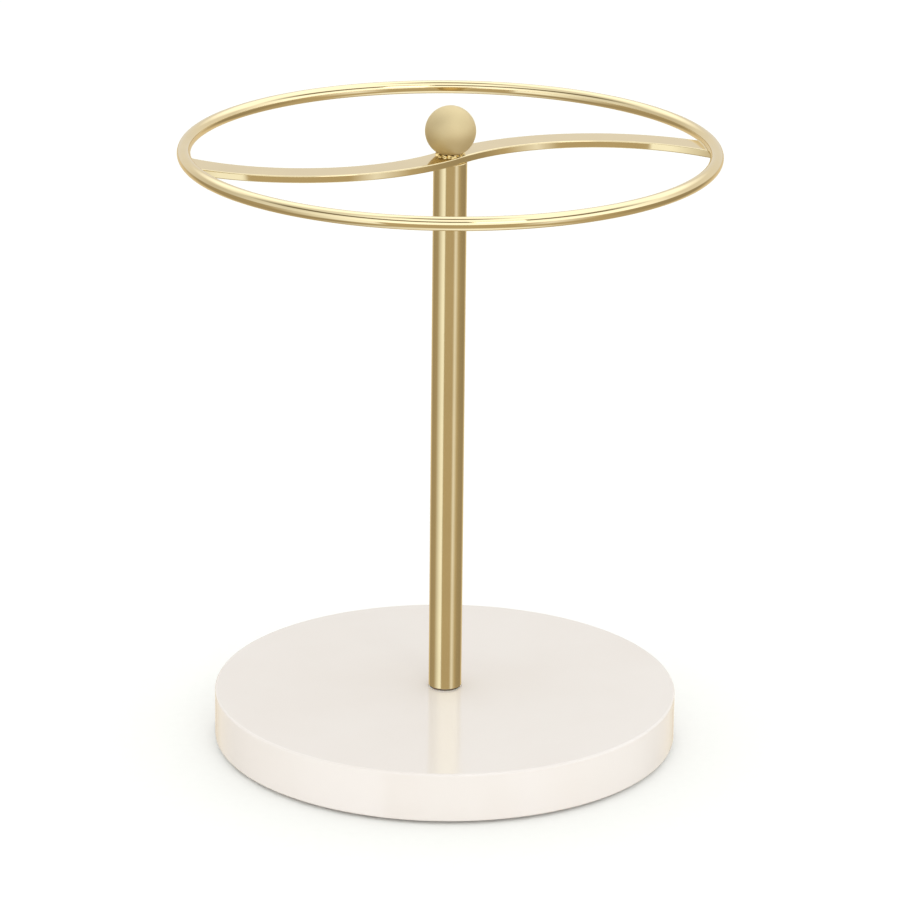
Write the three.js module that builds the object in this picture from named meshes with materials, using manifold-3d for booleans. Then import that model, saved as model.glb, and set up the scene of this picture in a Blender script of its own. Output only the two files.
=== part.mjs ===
// Rotating display rack for a shop counter.
//
// A round base stands on a thin non-slip pad. A ball bearing in the underside of the base carries a
// spindle, and the spindle carries a straight tubular post. An S-shaped flat bar lies across the top
// of the post, clamped there under a ball finial, and its two ends hold a ring of round wire. Goods
// hang over the ring. The post, the bar, the ring and the finial turn together on the base.
//
// Millimetres. The origin is the centre of the pad's underside, +Z is up, and the front is -Y.

import * as THREE from 'three';
import { mergeVertices } from 'three/addons/utils/BufferGeometryUtils.js';
import Module from 'manifold-3d';

// ---------------------------------------------------------------- driving dimensions

// Base and pad
const PAD_THICKNESS = 1;
const PAD_RADIUS = 66;
const PAD_HOLE_RADIUS = 25;
const BASE_RADIUS = 70;
const BASE_THICKNESS = 15;
const BASE_TOP_ROUND = 2;
const BASE_BOTTOM_ROUND = 1;

// Post, a tube with a solid plug in each end
const POST_RADIUS = 5;
const POST_WALL = 1;
const POST_TOP = 181;
const TOP_PLUG_LENGTH = 14;
const SPINDLE_IN_POST = 20;

// S-shaped bar: two arcs that leave the centre at the tangent angle and bend opposite ways
const BAR_WIDTH = 9;
const BAR_THICKNESS = 2.2;
const BAR_ARC_RADIUS = 56.7;
const BAR_TANGENT_DEG = 52;
const BAR_END_RADIUS = 77;
const BAR_HOLE_RADIUS = 2.65;
const BAR_END_OVERRUN_DEG = 4;
const BAR_ARC_STEPS = 18;

// Ring of round wire
const RING_RADIUS = 78;
const RING_HEIGHT = 184;
const WIRE_RADIUS = 2;
const WELD_GAP = 0.3;

// Finial, its stud and the toothed washer under it
const BALL_RADIUS = 7.5;
const BALL_FLAT_BELOW_CENTRE = 6.5;
const BALL_HOLE_DEPTH = 7.5;
const STUD_RADIUS = 2.5;
const STUD_IN_PLUG = 9;
const STUD_IN_BALL = 6.8;
const STUD_CHAMFER = 0.5;
const TOOTHED_WASHER_THICKNESS = 0.5;
const TOOTHED_WASHER_RADIUS = 4.4;
const TOOTH_ROOT_RADIUS = 3.8;
const TOOTH_COUNT = 12;

// Deep-groove ball bearing, 6 x 19 x 6 mm
const BEARING_BORE_RADIUS = 3;
const BEARING_OUTER_RADIUS = 9.5;
const BEARING_WIDTH = 6;
const INNER_LAND_RADIUS = 4.8;
const OUTER_LAND_RADIUS = 7.7;
const PITCH_RADIUS = 6.25;
const GROOVE_RADIUS = 1.85;
const GROOVE_HALF_ANGLE = 38;
const ROLLING_BALL_RADIUS = 1.7;
const ROLLING_BALL_COUNT = 7;
const CAGE_INNER_RADIUS = 5.35;
const CAGE_OUTER_RADIUS = 7.15;
const CAGE_POCKET_RADIUS = 1.95;
const CAGE_BELOW_CENTRE = 0.7;
const CAGE_ABOVE_CENTRE = 2.2;
const SHIELD_INNER_RADIUS = 4.95;
const SHIELD_OUTER_RADIUS = 7.6;
const SHIELD_THICKNESS = 0.3;
const SHIELD_INSET = 0.15;

// Bearing seat in the base, its retainer plate and the plate's screws
const BEARING_BOTTOM = 4.2;
const SEAT_CLEARANCE = 0.05;
const SEAT_RELIEF_DEPTH = 0.3;
const RECESS_RADIUS = 20.5;
const RETAINER_RADIUS = 20;
const RETAINER_HOLE_RADIUS = 7.6;
const RETAINER_THICKNESS = 1.2;
const RETAINER_SCREW_CIRCLE = 15;
const RETAINER_SCREW_COUNT = 3;
const RETAINER_SCREW_LENGTH = 7.5;
const RETAINER_SCREW_SHANK = 1.4;
const RETAINER_SCREW_HEAD = 2.7;
const RETAINER_SCREW_HEAD_HEIGHT = 1.2;
const COUNTERSINK_GAP = 0.15;
const INSERT_RADIUS = 2.3;
const INSERT_LENGTH = 7;
const THREAD_GAP = 0.1;
const CUT_OVERRUN = 1;

// Spindle, its liner in the base, its washers and its screw
const SPINDLE_TENON_RADIUS = 2.95;
const SPINDLE_TENON_SETBACK = 0.15;
const LINER_OUTER_RADIUS = 4.9;
const LINER_INNER_RADIUS = 4.3;
const LINER_TOP_SETBACK = 0.1;
const THRUST_WASHER_THICKNESS = 0.5;
const THRUST_WASHER_HOLE_RADIUS = 4.15;
const SPINDLE_WASHER_THICKNESS = 1;
const SPINDLE_WASHER_RADIUS = 4.7;
const SPINDLE_SCREW_RADIUS = 2;
const SPINDLE_SCREW_LENGTH = 12;
const SPINDLE_SCREW_HEAD_RADIUS = 3.5;
const SPINDLE_SCREW_HEAD_HEIGHT = 1.8;
const SPINDLE_SCREW_SOCKET_RADIUS = 1.45;
const SPINDLE_SCREW_SOCKET_DEPTH = 1.1;

// Smoothness of the round shapes, in flats per turn
const BASE_FLATS = 64;
const RING_FLATS = 84;
const WIRE_FLATS = 12;
const POST_FLATS = 32;
const BEARING_FLATS = 32;
const FASTENER_FLATS = 16;
const QUARTER_ROUND_STEPS = 4;
const FINIAL_STEPS = 10;
const GROOVE_STEPS = 4;

// ---------------------------------------------------------------- heights worked out from them

const BASE_BOTTOM = PAD_THICKNESS;
const BASE_TOP = BASE_BOTTOM + BASE_THICKNESS;
const BEARING_TOP = BEARING_BOTTOM + BEARING_WIDTH;
const BEARING_CENTRE = BEARING_BOTTOM + BEARING_WIDTH / 2;
const LINER_BOTTOM = BEARING_TOP + SEAT_RELIEF_DEPTH;
const POST_BOTTOM = BASE_TOP + THRUST_WASHER_THICKNESS;
const POST_BORE_RADIUS = POST_RADIUS - POST_WALL;
const PLUG_RADIUS = POST_BORE_RADIUS - SEAT_CLEARANCE;
const BAR_TOP = POST_TOP + BAR_THICKNESS;
const BALL_FLAT = BAR_TOP + TOOTHED_WASHER_THICKNESS;
const BALL_CENTRE = BALL_FLAT + BALL_FLAT_BELOW_CENTRE;
const SPINDLE_WASHER_BOTTOM = BEARING_BOTTOM - SPINDLE_WASHER_THICKNESS;
const RETAINER_BOTTOM = BEARING_BOTTOM - RETAINER_THICKNESS;

// ---------------------------------------------------------------- materials

function finish(color, roughness, metalness) {
  return { color, roughness, metalness };
}

const SATIN_GOLD = finish(0xb89b5e, 0.35, 1);
const POLISHED_GOLD = finish(0xd8be83, 0.15, 1);
const WHITE_STONE = finish(0xede6e0, 0.2, 0);
const BLACK_RUBBER = finish(0x2b2a29, 0.9, 0);
const BEARING_STEEL = finish(0xc4c6c8, 0.2, 1);
const ZINC_STEEL = finish(0x9fa3a6, 0.4, 1);
const PLAIN_BRASS = finish(0xb5924c, 0.4, 1);
const WHITE_NYLON = finish(0xe8e6df, 0.6, 0);

// ---------------------------------------------------------------- solids

const wasm = await Module();
wasm.setup();

function toSolid(geometry) {
  const bare = geometry.clone();
  bare.deleteAttribute('normal');
  bare.deleteAttribute('uv');
  const merged = mergeVertices(bare);
  const vertProperties = merged.getAttribute('position').array;
  const triVerts = Uint32Array.from(merged.getIndex().array);
  return new wasm.Manifold(new wasm.Mesh({ numProp: 3, vertProperties, triVerts }));
}

function toGeometry(solid) {
  const mesh = solid.getMesh();
  const geometry = new THREE.BufferGeometry();
  geometry.setAttribute('position', new THREE.BufferAttribute(mesh.vertProperties, 3));
  geometry.setIndex(new THREE.BufferAttribute(mesh.triVerts, 1));
  geometry.computeVertexNormals();
  return geometry;
}

// A body turned about +Z. The profile is a list of [radius, height] that runs anticlockwise, seen
// with the axis on the left, and either closes on itself or starts and ends on the axis.
function turned(profile, flats) {
  const points = profile.map(([radius, height]) => new THREE.Vector2(radius, height));
  const [first] = points;
  const last = points[points.length - 1];
  if (first.x > 0 || last.x > 0) {
    points.push(first.clone());
  }
  const geometry = new THREE.LatheGeometry(points, flats);
  geometry.rotateX(Math.PI / 2);
  return geometry;
}

// Points along an arc in the profile plane, both ends included. Angles are in degrees from +radius.
function arc(centreRadius, centreHeight, radius, fromDeg, toDeg, steps) {
  const points = [];
  for (let step = 0; step <= steps; step += 1) {
    const share = steps > 0 ? step / steps : 0;
    const angle = THREE.MathUtils.degToRad(fromDeg + (toDeg - fromDeg) * share);
    points.push([centreRadius + radius * Math.cos(angle), centreHeight + radius * Math.sin(angle)]);
  }
  return points;
}

// A plain ring or washer between two radii and two heights.
function sleeve(innerRadius, outerRadius, bottom, top, flats) {
  const profile = [
    [innerRadius, bottom],
    [outerRadius, bottom],
    [outerRadius, top],
    [innerRadius, top],
  ];
  return turned(profile, flats);
}

function rod(radius, bottom, top, flats) {
  const profile = [
    [0, bottom],
    [radius, bottom],
    [radius, top],
    [0, top],
  ];
  return turned(profile, flats);
}

// Positions spread evenly on a circle about +Z, the first one at the start angle.
function onCircle(count, radius, startDeg) {
  const places = [];
  for (let index = 0; index < count; index += 1) {
    const angle = THREE.MathUtils.degToRad(startDeg) + (2 * Math.PI * index) / count;
    places.push(new THREE.Vector3(radius * Math.cos(angle), radius * Math.sin(angle), 0));
  }
  return places;
}

const retainerScrewPlaces = onCircle(RETAINER_SCREW_COUNT, RETAINER_SCREW_CIRCLE, 90);
const rollingBallPlaces = onCircle(ROLLING_BALL_COUNT, PITCH_RADIUS, 0);

// ---------------------------------------------------------------- assembly

const rack = new THREE.Group();

function addPart(name, geometry, look, place = new THREE.Vector3()) {
  const mesh = new THREE.Mesh(geometry, new THREE.MeshStandardMaterial(look));
  mesh.name = name;
  mesh.position.copy(place);
  rack.add(mesh);
}

// ---------------------------------------------------------------- base and pad

function baseDisc() {
  const seatRadius = BEARING_OUTER_RADIUS + SEAT_CLEARANCE;
  const linerSeatRadius = LINER_OUTER_RADIUS + SEAT_CLEARANCE;
  const reliefRadius = OUTER_LAND_RADIUS - SEAT_CLEARANCE;
  const topRound = [BASE_RADIUS - BASE_TOP_ROUND, BASE_TOP - BASE_TOP_ROUND, BASE_TOP_ROUND];
  const bottomRound = [
    BASE_RADIUS - BASE_BOTTOM_ROUND,
    BASE_BOTTOM + BASE_BOTTOM_ROUND,
    BASE_BOTTOM_ROUND,
  ];
  const profile = [
    [RECESS_RADIUS, BASE_BOTTOM],
    ...arc(...bottomRound, -90, 0, QUARTER_ROUND_STEPS / 2),
    ...arc(...topRound, 0, 90, QUARTER_ROUND_STEPS),
    [linerSeatRadius, BASE_TOP],
    [linerSeatRadius, LINER_BOTTOM],
    [reliefRadius, LINER_BOTTOM],
    [reliefRadius, BEARING_TOP],
    [seatRadius, BEARING_TOP],
    [seatRadius, BEARING_BOTTOM],
    [RECESS_RADIUS, BEARING_BOTTOM],
  ];
  const holeRadius = INSERT_RADIUS + SEAT_CLEARANCE;
  const holeTop = BEARING_BOTTOM + INSERT_LENGTH + SEAT_CLEARANCE;
  const hole = rod(holeRadius, RETAINER_BOTTOM, holeTop, FASTENER_FLATS);
  let solid = toSolid(turned(profile, BASE_FLATS));
  for (const place of retainerScrewPlaces) {
    solid = solid.subtract(toSolid(hole.clone().translate(place.x, place.y, 0)));
  }
  return toGeometry(solid);
}

addPart('non_slip_pad', sleeve(PAD_HOLE_RADIUS, PAD_RADIUS, 0, BASE_BOTTOM, BASE_FLATS), BLACK_RUBBER);
addPart('base_disc', baseDisc(), WHITE_STONE);

// ---------------------------------------------------------------- bearing

// The groove that the balls run in. It faces inwards about 0 degrees and outwards about 180.
function grooveAbout(middleDeg) {
  const from = middleDeg + GROOVE_HALF_ANGLE;
  const to = middleDeg - GROOVE_HALF_ANGLE;
  return arc(PITCH_RADIUS, BEARING_CENTRE, GROOVE_RADIUS, from, to, GROOVE_STEPS);
}

function outerRace() {
  const profile = [
    [OUTER_LAND_RADIUS, BEARING_BOTTOM],
    [BEARING_OUTER_RADIUS, BEARING_BOTTOM],
    [BEARING_OUTER_RADIUS, BEARING_TOP],
    [OUTER_LAND_RADIUS, BEARING_TOP],
    ...grooveAbout(0),
  ];
  return turned(profile, BEARING_FLATS);
}

function innerRace() {
  const profile = [
    [BEARING_BORE_RADIUS, BEARING_BOTTOM],
    [INNER_LAND_RADIUS, BEARING_BOTTOM],
    ...grooveAbout(180),
    [INNER_LAND_RADIUS, BEARING_TOP],
    [BEARING_BORE_RADIUS, BEARING_TOP],
  ];
  return turned(profile, BEARING_FLATS);
}

// A crown: a ring with a round pocket for each ball, open on the lower side.
function cage() {
  const bottom = BEARING_CENTRE - CAGE_BELOW_CENTRE;
  const top = BEARING_CENTRE + CAGE_ABOVE_CENTRE;
  let solid = toSolid(sleeve(CAGE_INNER_RADIUS, CAGE_OUTER_RADIUS, bottom, top, BEARING_FLATS));
  for (const place of rollingBallPlaces) {
    const pocket = new THREE.IcosahedronGeometry(CAGE_POCKET_RADIUS, 1);
    pocket.translate(place.x, place.y, BEARING_CENTRE);
    solid = solid.subtract(toSolid(pocket));
  }
  return toGeometry(solid);
}

function shield(bottom) {
  const top = bottom + SHIELD_THICKNESS;
  return sleeve(SHIELD_INNER_RADIUS, SHIELD_OUTER_RADIUS, bottom, top, BEARING_FLATS);
}

addPart('bearing_outer_race', outerRace(), BEARING_STEEL);
addPart('bearing_inner_race', innerRace(), BEARING_STEEL);
addPart('bearing_shield_bottom', shield(BEARING_BOTTOM + SHIELD_INSET), ZINC_STEEL);
addPart('bearing_shield_top', shield(BEARING_TOP - SHIELD_INSET - SHIELD_THICKNESS), ZINC_STEEL);
addPart('bearing_cage', cage(), WHITE_NYLON);
rollingBallPlaces.forEach((place, index) => {
  const centre = new THREE.Vector3(place.x, place.y, BEARING_CENTRE);
  const ball = new THREE.IcosahedronGeometry(ROLLING_BALL_RADIUS, 1);
  addPart(`bearing_ball_${index + 1}`, ball, BEARING_STEEL, centre);
});

// ---------------------------------------------------------------- retainer plate and its screws

function countersunkScrew() {
  const top = RETAINER_BOTTOM + RETAINER_SCREW_LENGTH;
  const headTop = RETAINER_BOTTOM + RETAINER_SCREW_HEAD_HEIGHT;
  const head = [
    [0, RETAINER_BOTTOM],
    [RETAINER_SCREW_HEAD, RETAINER_BOTTOM],
    [RETAINER_SCREW_SHANK, headTop],
    [RETAINER_SCREW_SHANK, top],
    [0, top],
  ];
  return turned(head, FASTENER_FLATS);
}

function retainerPlate() {
  const plate = sleeve(
    RETAINER_HOLE_RADIUS, RETAINER_RADIUS, RETAINER_BOTTOM, BEARING_BOTTOM, BASE_FLATS / 2,
  );
  const slope = (RETAINER_SCREW_HEAD - RETAINER_SCREW_SHANK) / RETAINER_SCREW_HEAD_HEIGHT;
  const sinkMouth = RETAINER_SCREW_HEAD + COUNTERSINK_GAP + slope * CUT_OVERRUN;
  const sinkThroat = RETAINER_SCREW_SHANK + COUNTERSINK_GAP;
  const sink = turned([
    [0, RETAINER_BOTTOM - CUT_OVERRUN],
    [sinkMouth, RETAINER_BOTTOM - CUT_OVERRUN],
    [sinkThroat, RETAINER_BOTTOM + RETAINER_SCREW_HEAD_HEIGHT],
    [sinkThroat, BEARING_BOTTOM + CUT_OVERRUN],
    [0, BEARING_BOTTOM + CUT_OVERRUN],
  ], FASTENER_FLATS);
  let solid = toSolid(plate);
  for (const place of retainerScrewPlaces) {
    solid = solid.subtract(toSolid(sink.clone().translate(place.x, place.y, 0)));
  }
  return toGeometry(solid);
}

function screwInsert() {
  const bore = RETAINER_SCREW_SHANK + THREAD_GAP;
  const top = BEARING_BOTTOM + INSERT_LENGTH;
  return sleeve(bore, INSERT_RADIUS, BEARING_BOTTOM, top, FASTENER_FLATS);
}

addPart('bearing_retainer', retainerPlate(), ZINC_STEEL);
retainerScrewPlaces.forEach((place, index) => {
  addPart(`retainer_screw_${index + 1}`, countersunkScrew(), ZINC_STEEL, place);
  addPart(`screw_insert_${index + 1}`, screwInsert(), PLAIN_BRASS, place);
});

// ---------------------------------------------------------------- spindle, liner and washers

// The tenon fits the bearing bore, the shoulder rests on the inner race, and the rest fits the post.
function spindle() {
  const bottom = BEARING_BOTTOM + SPINDLE_TENON_SETBACK;
  const top = POST_BOTTOM + SPINDLE_IN_POST;
  const bore = SPINDLE_SCREW_RADIUS + THREAD_GAP;
  const boreTop = SPINDLE_WASHER_BOTTOM + SPINDLE_SCREW_LENGTH + 1;
  const profile = [
    [0, boreTop],
    [bore, boreTop],
    [bore, bottom],
    [SPINDLE_TENON_RADIUS, bottom],
    [SPINDLE_TENON_RADIUS, BEARING_TOP],
    [PLUG_RADIUS, BEARING_TOP],
    [PLUG_RADIUS, top],
    [0, top],
  ];
  return turned(profile, POST_FLATS);
}

function spindleScrew() {
  const headBottom = SPINDLE_WASHER_BOTTOM - SPINDLE_SCREW_HEAD_HEIGHT;
  const socketTop = headBottom + SPINDLE_SCREW_SOCKET_DEPTH;
  const tip = SPINDLE_WASHER_BOTTOM + SPINDLE_SCREW_LENGTH;
  const profile = [
    [0, headBottom],
    [SPINDLE_SCREW_HEAD_RADIUS, headBottom],
    [SPINDLE_SCREW_HEAD_RADIUS, SPINDLE_WASHER_BOTTOM],
    [SPINDLE_SCREW_RADIUS, SPINDLE_WASHER_BOTTOM],
    [SPINDLE_SCREW_RADIUS, tip],
    [0, tip],
  ];
  const socket = rod(SPINDLE_SCREW_SOCKET_RADIUS, headBottom - CUT_OVERRUN, socketTop, 6);
  return toGeometry(toSolid(turned(profile, FASTENER_FLATS)).subtract(toSolid(socket)));
}

const linerTop = BASE_TOP - LINER_TOP_SETBACK;
const liner = sleeve(LINER_INNER_RADIUS, LINER_OUTER_RADIUS, LINER_BOTTOM, linerTop, POST_FLATS);
const thrustWasher = sleeve(THRUST_WASHER_HOLE_RADIUS, POST_RADIUS, BASE_TOP, POST_BOTTOM, POST_FLATS);
const spindleWasher = sleeve(
  SPINDLE_SCREW_RADIUS + THREAD_GAP,
  SPINDLE_WASHER_RADIUS,
  SPINDLE_WASHER_BOTTOM,
  BEARING_BOTTOM,
  BEARING_FLATS,
);

addPart('bore_liner', liner, WHITE_NYLON);
addPart('thrust_washer', thrustWasher, WHITE_NYLON);
addPart('spindle', spindle(), ZINC_STEEL);
addPart('spindle_washer', spindleWasher, ZINC_STEEL);
addPart('spindle_screw', spindleScrew(), ZINC_STEEL);

// ---------------------------------------------------------------- post

const topPlugBottom = POST_TOP - TOP_PLUG_LENGTH;
const studBore = STUD_RADIUS + THREAD_GAP;

addPart('post_tube', sleeve(POST_BORE_RADIUS, POST_RADIUS, POST_BOTTOM, POST_TOP, POST_FLATS), SATIN_GOLD);
addPart('post_top_plug', sleeve(studBore, PLUG_RADIUS, topPlugBottom, POST_TOP, POST_FLATS), ZINC_STEEL);

// ---------------------------------------------------------------- bar and ring

// A flat outline from corner points, with a round hole at the centre.
function outlineWithHole(corners, holeRadius) {
  const outline = new THREE.Shape(corners.map(([x, y]) => new THREE.Vector2(x, y)));
  const hole = arc(0, 0, holeRadius, 0, 360, POST_FLATS).slice(1);
  outline.holes.push(new THREE.Path(hole.map(([x, y]) => new THREE.Vector2(x, y))));
  return outline;
}

// The bar's outline: each side is an arc inside one bend and outside the other. The two bends are
// alike, so the second half is the first half turned half a turn about the centre.
function barOutline() {
  const half = BAR_WIDTH / 2;
  const centreX = BAR_ARC_RADIUS * Math.sin(THREE.MathUtils.degToRad(BAR_TANGENT_DEG));
  const centreY = -BAR_ARC_RADIUS * Math.cos(THREE.MathUtils.degToRad(BAR_TANGENT_DEG));
  const start = BAR_TANGENT_DEG + 90;
  const spread = 2 * THREE.MathUtils.radToDeg(Math.asin(RING_RADIUS / 2 / BAR_ARC_RADIUS));
  const end = start - spread - BAR_END_OVERRUN_DEG;
  const outer = arc(centreX, centreY, BAR_ARC_RADIUS + half, start, end, BAR_ARC_STEPS);
  const inner = arc(centreX, centreY, BAR_ARC_RADIUS - half, end, start, BAR_ARC_STEPS).slice(0, -1);
  const oneHalf = [...outer, ...inner];
  const otherHalf = oneHalf.map(([x, y]) => [-x, -y]);
  return outlineWithHole([...oneHalf, ...otherHalf], BAR_HOLE_RADIUS);
}

// The ends are cut to the ring's curve and hollowed where the wire lies against them.
function crossbar() {
  const strip = new THREE.ExtrudeGeometry(barOutline(), {
    depth: BAR_THICKNESS,
    bevelEnabled: false,
  });
  strip.translate(0, 0, POST_TOP);
  const trim = rod(BAR_END_RADIUS, POST_TOP - CUT_OVERRUN, BAR_TOP + CUT_OVERRUN, RING_FLATS);
  const wire = new THREE.TorusGeometry(RING_RADIUS, WIRE_RADIUS + WELD_GAP, WIRE_FLATS, RING_FLATS);
  wire.translate(0, 0, RING_HEIGHT);
  return toGeometry(toSolid(strip).intersect(toSolid(trim)).subtract(toSolid(wire)));
}

const ringWire = new THREE.TorusGeometry(RING_RADIUS, WIRE_RADIUS, WIRE_FLATS, RING_FLATS);

addPart('crossbar', crossbar(), POLISHED_GOLD);
addPart('display_ring', ringWire, POLISHED_GOLD, new THREE.Vector3(0, 0, RING_HEIGHT));

// ---------------------------------------------------------------- finial

function toothedWasher() {
  const corners = [];
  for (let tooth = 0; tooth < TOOTH_COUNT; tooth += 1) {
    const tip = (360 * tooth) / TOOTH_COUNT;
    const root = (360 * (tooth + 0.5)) / TOOTH_COUNT;
    corners.push(...arc(0, 0, TOOTHED_WASHER_RADIUS, tip, tip, 0));
    corners.push(...arc(0, 0, TOOTH_ROOT_RADIUS, root, root, 0));
  }
  const washer = new THREE.ExtrudeGeometry(outlineWithHole(corners, BAR_HOLE_RADIUS), {
    depth: TOOTHED_WASHER_THICKNESS,
    bevelEnabled: false,
  });
  washer.translate(0, 0, BAR_TOP);
  return washer;
}

function finialStud() {
  const bottom = POST_TOP - STUD_IN_PLUG;
  const top = BALL_FLAT + STUD_IN_BALL;
  const profile = [
    [0, bottom],
    [STUD_RADIUS - STUD_CHAMFER, bottom],
    [STUD_RADIUS, bottom + STUD_CHAMFER],
    [STUD_RADIUS, top - STUD_CHAMFER],
    [STUD_RADIUS - STUD_CHAMFER, top],
    [0, top],
  ];
  return turned(profile, POST_FLATS);
}

function ballFinial() {
  const flatAngle = -THREE.MathUtils.radToDeg(Math.asin(BALL_FLAT_BELOW_CENTRE / BALL_RADIUS));
  const holeTop = BALL_FLAT + BALL_HOLE_DEPTH;
  const outside = arc(0, BALL_CENTRE, BALL_RADIUS, flatAngle, 90, FINIAL_STEPS);
  outside[outside.length - 1][0] = 0;
  const profile = [
    [0, holeTop],
    [studBore, holeTop],
    [studBore, BALL_FLAT],
    ...outside,
  ];
  return turned(profile, POST_FLATS);
}

addPart('finial_stud', finialStud(), ZINC_STEEL);
addPart('toothed_washer', toothedWasher(), POLISHED_GOLD);
addPart('ball_finial', ballFinial(), SATIN_GOLD);

export default rack;
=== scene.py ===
"""Rotating display rack: the finished model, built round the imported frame.

Every visible piece is rebuilt here as a fine mesh in metres, in the frame's own coordinates, and rides
on the body that its frame node belongs to. Turned pieces are profiles with rounded corners swept about
the post's axis; the bar is a rounded strip swept along its S; the welds are melted from bar and wire.
"""
import math

import bmesh
import bpy
from mathutils import Matrix, Vector


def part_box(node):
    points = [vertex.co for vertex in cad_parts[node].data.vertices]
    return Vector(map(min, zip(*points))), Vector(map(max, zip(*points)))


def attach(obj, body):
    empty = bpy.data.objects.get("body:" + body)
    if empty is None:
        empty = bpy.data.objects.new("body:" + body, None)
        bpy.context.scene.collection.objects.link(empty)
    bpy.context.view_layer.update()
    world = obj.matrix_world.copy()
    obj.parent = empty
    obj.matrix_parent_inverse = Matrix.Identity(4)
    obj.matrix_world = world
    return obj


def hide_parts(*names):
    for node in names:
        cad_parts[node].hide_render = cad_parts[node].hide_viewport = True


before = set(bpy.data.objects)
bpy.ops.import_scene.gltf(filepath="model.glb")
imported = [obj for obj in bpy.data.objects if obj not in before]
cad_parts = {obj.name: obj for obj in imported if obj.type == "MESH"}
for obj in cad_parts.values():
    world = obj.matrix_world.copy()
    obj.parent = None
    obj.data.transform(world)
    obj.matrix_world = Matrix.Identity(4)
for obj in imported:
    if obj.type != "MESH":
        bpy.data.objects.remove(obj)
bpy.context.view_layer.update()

MM = 0.001
TAU = 2 * math.pi
UP = Vector((0, 0, 1))


# ---------------------------------------------------------------- sizes read from the frame

def low(node):
    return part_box(node)[0]


def high(node):
    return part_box(node)[1]


PAD_BOTTOM, PAD_TOP = low("non_slip_pad").z, high("non_slip_pad").z
PAD_R = high("non_slip_pad").x
BASE_BOTTOM, BASE_TOP = low("base_disc").z, high("base_disc").z
BASE_R = high("base_disc").x
RETAINER_BOTTOM, RETAINER_TOP = low("bearing_retainer").z, high("bearing_retainer").z
RETAINER_R = high("bearing_retainer").x
BEARING_BOTTOM, BEARING_TOP = low("bearing_outer_race").z, high("bearing_outer_race").z
BEARING_R = high("bearing_outer_race").x
BEARING_MIDDLE = (BEARING_BOTTOM + BEARING_TOP) / 2
POST_BOTTOM, POST_TOP = low("post_tube").z, high("post_tube").z
POST_R = high("post_tube").x
PLUG_R = high("post_top_plug").x
BAR_BOTTOM, BAR_TOP = low("crossbar").z, high("crossbar").z
RING_HEIGHT = (low("display_ring").z + high("display_ring").z) / 2
WIRE_R = (high("display_ring").z - low("display_ring").z) / 2
RING_R = high("display_ring").x - WIRE_R
FINIAL_BOTTOM, FINIAL_TOP = low("ball_finial").z, high("ball_finial").z
FINIAL_R = high("ball_finial").x

# The same sizes as the frame's solids, where a node's box doesn't give them
PAD_HOLE_R = 25 * MM
RECESS_R = 20.5 * MM
SEAT_GAP = 0.05 * MM
TAPPED_GAP = 0.1 * MM
CUT_OVERRUN = 1 * MM
POST_BORE_R = POST_R - 1 * MM
BAR_WIDTH = 9 * MM
BAR_ARC_R = 56.7 * MM
BAR_TANGENT = math.radians(52)
BAR_END_R = 77 * MM
BAR_HOLE_R = 2.65 * MM
STUD_R = 2.5 * MM
TOOTH_TIP_R = 4.4 * MM
TOOTH_COUNT = 12
BEARING_BORE_R = 3 * MM
INNER_LAND_R = 4.8 * MM
OUTER_LAND_R = 7.7 * MM
GROOVE_R = 1.85 * MM
GROOVE_HALF_DEG = 38
PITCH_R = 6.25 * MM
ROLLING_BALL_R = 1.7 * MM
BALL_COUNT = 7
CAGE_INNER_R = 5.35 * MM
CAGE_OUTER_R = 7.15 * MM
CAGE_POCKET_R = 1.95 * MM
SHIELD_INNER_R = 4.95 * MM
RETAINER_HOLE_R = 7.6 * MM
SCREW_COUNT = 3
SCREW_CIRCLE = 15 * MM
FIRST_SCREW_DEG = 90
SCREW_HEAD_R = 2.7 * MM
SCREW_HEAD_HEIGHT = 1.2 * MM
SCREW_SHANK_R = 1.4 * MM
SINK_MOUTH_R = SCREW_HEAD_R + 0.15 * MM
SINK_THROAT_R = SCREW_SHANK_R + 0.15 * MM
TENON_R = 2.95 * MM
LINER_BORE_R = 4.3 * MM
SLIP_BORE_R = 4.15 * MM
CLAMP_HEAD_R = 3.5 * MM
CLAMP_SHANK_R = 2 * MM
CLAMP_SOCKET_R = 1.45 * MM
CLAMP_SOCKET_DEPTH = 1.1 * MM

# The strip's arcs are swept this much past the ring, then the strip is trimmed to BAR_END_R
BAR_OVERRUN = math.radians(6)


# ---------------------------------------------------------------- mesh helpers

def new_object(name, mesh):
    obj = bpy.data.objects.new(name, mesh)
    bpy.context.scene.collection.objects.link(obj)
    return obj


def smooth(mesh, sharp_deg=35):
    mesh.polygons.foreach_set("use_smooth", [True] * len(mesh.polygons))
    mesh.set_sharp_from_angle(angle=math.radians(sharp_deg))


def to_mesh(name, bm):
    bmesh.ops.recalc_face_normals(bm, faces=bm.faces)
    mesh = bpy.data.meshes.new(name)
    bm.to_mesh(mesh)
    bm.free()
    smooth(mesh)
    return mesh


def with_fillets(corners, closed, steps=5):
    """Corner points (r, z, fillet) as a path of (r, z), each corner rounded to its own fillet."""
    path = []
    count = len(corners)
    for i, (r, z, fillet) in enumerate(corners):
        here = Vector((r, z))
        if fillet <= 0 or (not closed and i in (0, count - 1)):
            path.append((r, z))
            continue
        before = Vector(corners[i - 1][:2]) - here
        after = Vector(corners[(i + 1) % count][:2]) - here
        half = before.angle(after) / 2
        reach = fillet / math.tan(half)
        centre = here + (before.normalized() + after.normalized()).normalized() * (fillet / math.sin(half))
        start = here + before.normalized() * reach - centre
        end = here + after.normalized() * reach - centre
        turn = start.angle_signed(end)
        for step in range(steps + 1):
            point = centre + Matrix.Rotation(-turn * step / steps, 2) @ start
            path.append((point.x, point.y))
    return path


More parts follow.
